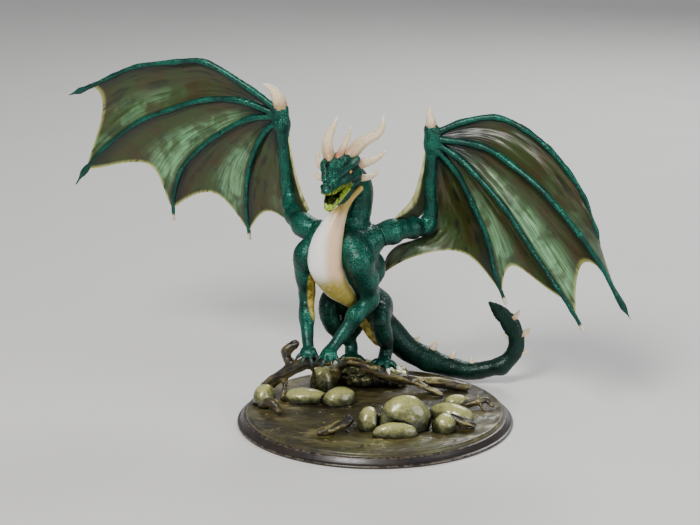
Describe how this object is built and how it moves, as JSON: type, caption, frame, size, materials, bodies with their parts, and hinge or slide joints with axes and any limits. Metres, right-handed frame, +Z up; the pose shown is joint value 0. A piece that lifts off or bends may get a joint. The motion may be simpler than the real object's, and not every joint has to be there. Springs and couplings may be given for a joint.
{
  "type": "painted dragon miniature",
  "caption": "Painted tabletop dragon crouching with raised wings on a round scenic base of rocks and roots; each wing pulls off a keyed peg.",
  "frame": {"origin": "centre of the round plinth's flat underside", "axes": "+Z up out of the base; -Y is the viewer's side; +X is the viewer's right, the dragon's left"},
  "size_m": [0.2074, 0.1204, 0.1245],
  "materials": {
    "dragon_skin": "teal metallic paint with brighter dry-brushed scales",
    "wing_skin": "olive and brown membrane paint with pale green dry-brushing",
    "pale_web": "pale yellow-green paint on the front webs",
    "belly_paint": "ivory paint shading to cream and tan",
    "horn_paint": "bone paint with darker roots",
    "jaw_paint": "lime green paint with a dark mouth",
    "eye_paint": "amber paint",
    "claw_paint": "off-white paint",
    "rock_paint": "grey-olive paint with pale yellow highlights",
    "root_paint": "olive-brown bark paint",
    "ground_paint": "dark olive-brown mud paint",
    "plinth_paint": "very dark brown satin paint",
    "steel": "drawn steel rod"
  },
  "bodies": {
    "figure": {"belly_plate": "belly_paint", "body_dowels": "steel", "boulder_front": "rock_paint", "boulder_front_foot": "rock_paint", "boulder_front_slab": "rock_paint", "boulder_left": "rock_paint", "boulder_long": "rock_paint", "boulder_ridge": "rock_paint", "boulder_ridge_end": "rock_paint", "boulder_round": "rock_paint", "boulder_small": "rock_paint", "boulder_under_perch": "rock_paint", "cheek_horns": "horn_paint", "crest_horn": "horn_paint", "dorsal_spines": "horn_paint", "eyes": "eye_paint", "foot_dowels": "steel", "front_snag": "root_paint", "ground": "ground_paint", "head": "dragon_skin", "left_crown_horn": "horn_paint", "left_foreclaws": "claw_paint", "left_foreleg": "dragon_skin", "left_hindclaws": "claw_paint", "left_hindleg": "dragon_skin", "left_root_knot": "root_paint", "lower_jaw": "jaw_paint", "neck": "dragon_skin", "perch_root": "root_paint", "plinth": "plinth_paint", "rear_ledge": "rock_paint", "right_crown_horn": "horn_paint", "right_foreclaws": "claw_paint", "right_foreleg": "dragon_skin", "right_hindclaws": "claw_paint", "right_hindleg": "dragon_skin", "right_root_flap": "root_paint", "right_twig": "root_paint", "root_arch": "root_paint", "tail_base": "dragon_skin", "tail_mid": "dragon_skin", "tail_spikes": "horn_paint", "tail_tip": "dragon_skin", "temple_horns": "horn_paint", "torso": "dragon_skin"},
    "left_wing": {"left_thumb_claw": "horn_paint", "left_wing_arm": "dragon_skin", "left_wing_fingers": "dragon_skin", "left_wing_front_web": "pale_web", "left_wing_membrane": "wing_skin", "left_wing_peg": "steel"},
    "right_wing": {"right_thumb_claw": "horn_paint", "right_wing_arm": "dragon_skin", "right_wing_fingers": "dragon_skin", "right_wing_front_web": "pale_web", "right_wing_membrane": "wing_skin", "right_wing_peg": "steel"}
  },
  "joints": [
    {"name": "left_wing_pull", "type": "slide", "parent": "figure", "child": "left_wing", "axis": [0.8721, 0.412, 0.264], "range_m": [0, 0.008]},
    {"name": "right_wing_pull", "type": "slide", "parent": "figure", "child": "right_wing", "axis": [-0.8462, 0.4661, 0.2581], "range_m": [0, 0.008]}
  ]
}
